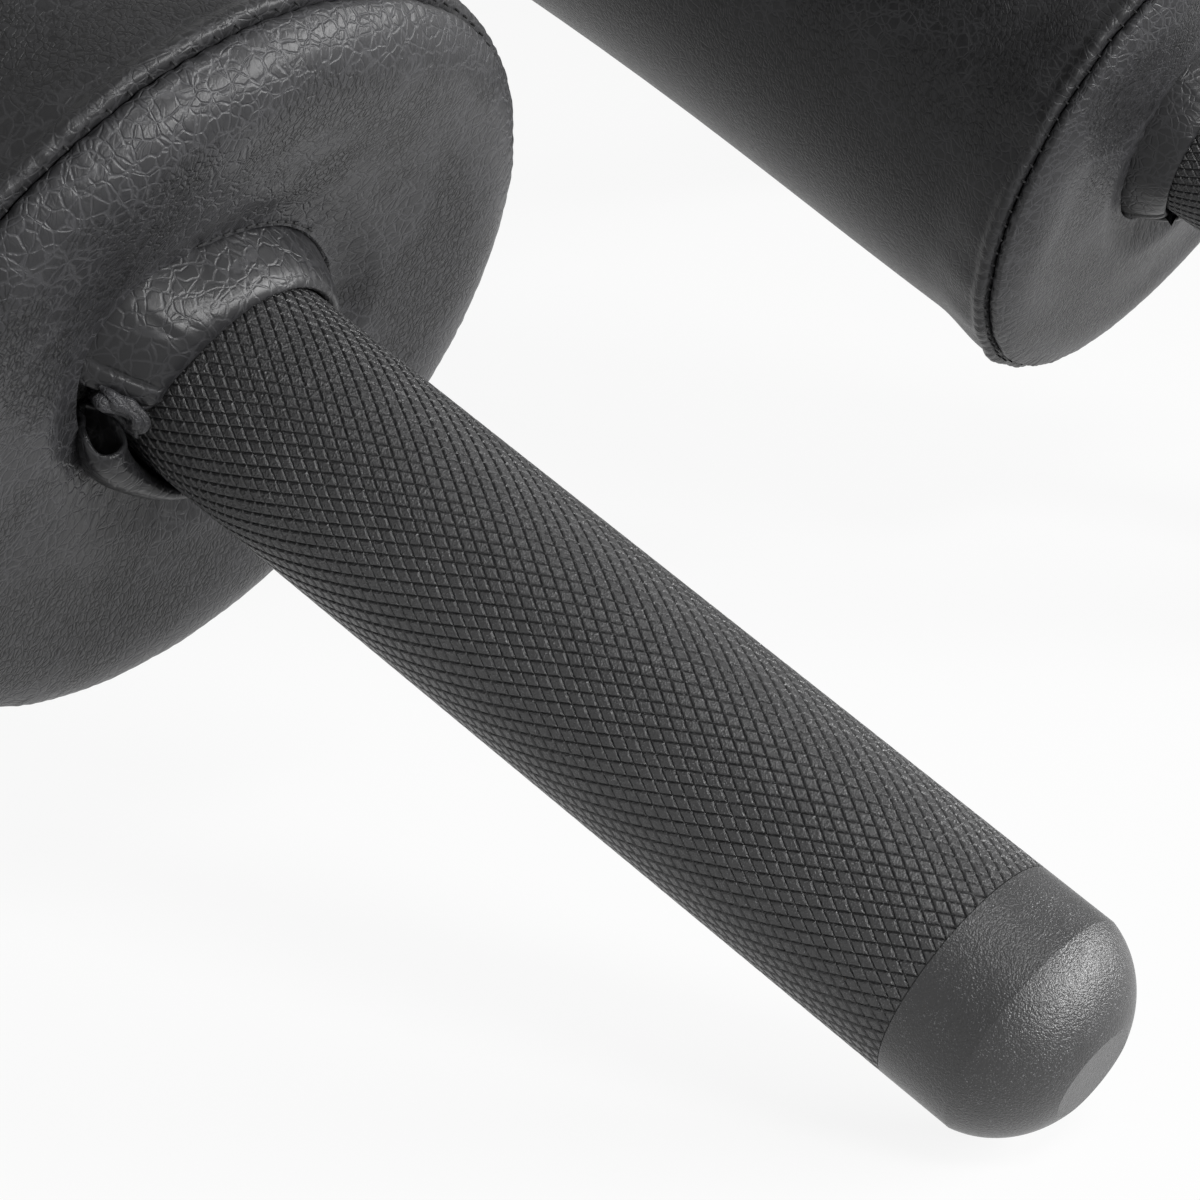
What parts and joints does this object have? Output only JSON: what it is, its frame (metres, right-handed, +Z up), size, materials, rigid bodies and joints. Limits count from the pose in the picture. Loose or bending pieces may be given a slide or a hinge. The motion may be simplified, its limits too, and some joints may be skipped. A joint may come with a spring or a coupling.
{
  "type": "safety squat bar",
  "caption": "Cambered safety squat bar with padded neck roll, padded shoulder arms ending in knurled handles, and turning plate sleeves.",
  "frame": {"origin": "on the floor under the middle of the bar's outline, with the bar lying on its two sleeve flanges and its two handle tips", "axes": "+X along the bar towards the lifter's left, -Y the way the arms and handles reach, +Z up"},
  "size_m": [2.306, 0.4178, 0.2452],
  "materials": {
    "black_powder_coat": "satin, fine orange peel, with a diamond knurl on the grips",
    "synthetic_leather": "grained, semi-matt",
    "foam": "dense closed-cell foam",
    "hook_textile": "hook and loop tape",
    "hard_chrome": "satin",
    "turned_steel": "turned",
    "bearing_bronze": "machined",
    "black_plastic": "fine texture"
  },
  "bodies": {
    "frame": {"main_shaft": "black_powder_coat", "neck_pad_foam": "foam", "neck_pad_cover": "synthetic_leather", "neck_pad_left_disc": "synthetic_leather", "neck_pad_right_disc": "synthetic_leather", "neck_pad_closure_flap": "synthetic_leather", "right_arm_tube": "black_powder_coat", "right_handle": "black_powder_coat", "right_pad_foam": "foam", "right_pad_cover": "synthetic_leather", "right_pad_front_disc": "synthetic_leather", "right_pad_rear_disc": "synthetic_leather", "right_pad_closure_flap": "synthetic_leather", "right_pad_cuff": "synthetic_leather", "right_cuff_tongue": "hook_textile", "right_sleeve_spindle": "turned_steel", "right_sleeve_inner_washer": "bearing_bronze", "right_sleeve_outer_washer": "bearing_bronze", "right_sleeve_retaining_ring": "turned_steel", "left_arm_tube": "black_powder_coat", "left_handle": "black_powder_coat", "left_pad_foam": "foam", "left_pad_cover": "synthetic_leather", "left_pad_front_disc": "synthetic_leather", "left_pad_rear_disc": "synthetic_leather", "left_pad_closure_flap": "synthetic_leather", "left_pad_cuff": "synthetic_leather", "left_cuff_tongue": "hook_textile", "left_sleeve_spindle": "turned_steel", "left_sleeve_inner_washer": "bearing_bronze", "left_sleeve_outer_washer": "bearing_bronze", "left_sleeve_retaining_ring": "turned_steel"},
    "right_sleeve": {"right_sleeve_tube": "hard_chrome", "right_sleeve_flange": "hard_chrome", "right_sleeve_inner_bushing": "bearing_bronze", "right_sleeve_outer_bushing": "bearing_bronze", "right_sleeve_end_cap": "black_plastic"},
    "left_sleeve": {"left_sleeve_tube": "hard_chrome", "left_sleeve_flange": "hard_chrome", "left_sleeve_inner_bushing": "bearing_bronze", "left_sleeve_outer_bushing": "bearing_bronze", "left_sleeve_end_cap": "black_plastic"}
  },
  "joints": [
    {"name": "right_sleeve_spin", "type": "hinge", "parent": "frame", "child": "right_sleeve", "pos_m": [-0.718, 0.16446, 0.04483], "axis": [1, 0, 0], "continuous": true},
    {"name": "left_sleeve_spin", "type": "hinge", "parent": "frame", "child": "left_sleeve", "pos_m": [0.718, 0.16446, 0.04483], "axis": [1, 0, 0], "continuous": true}
  ]
}
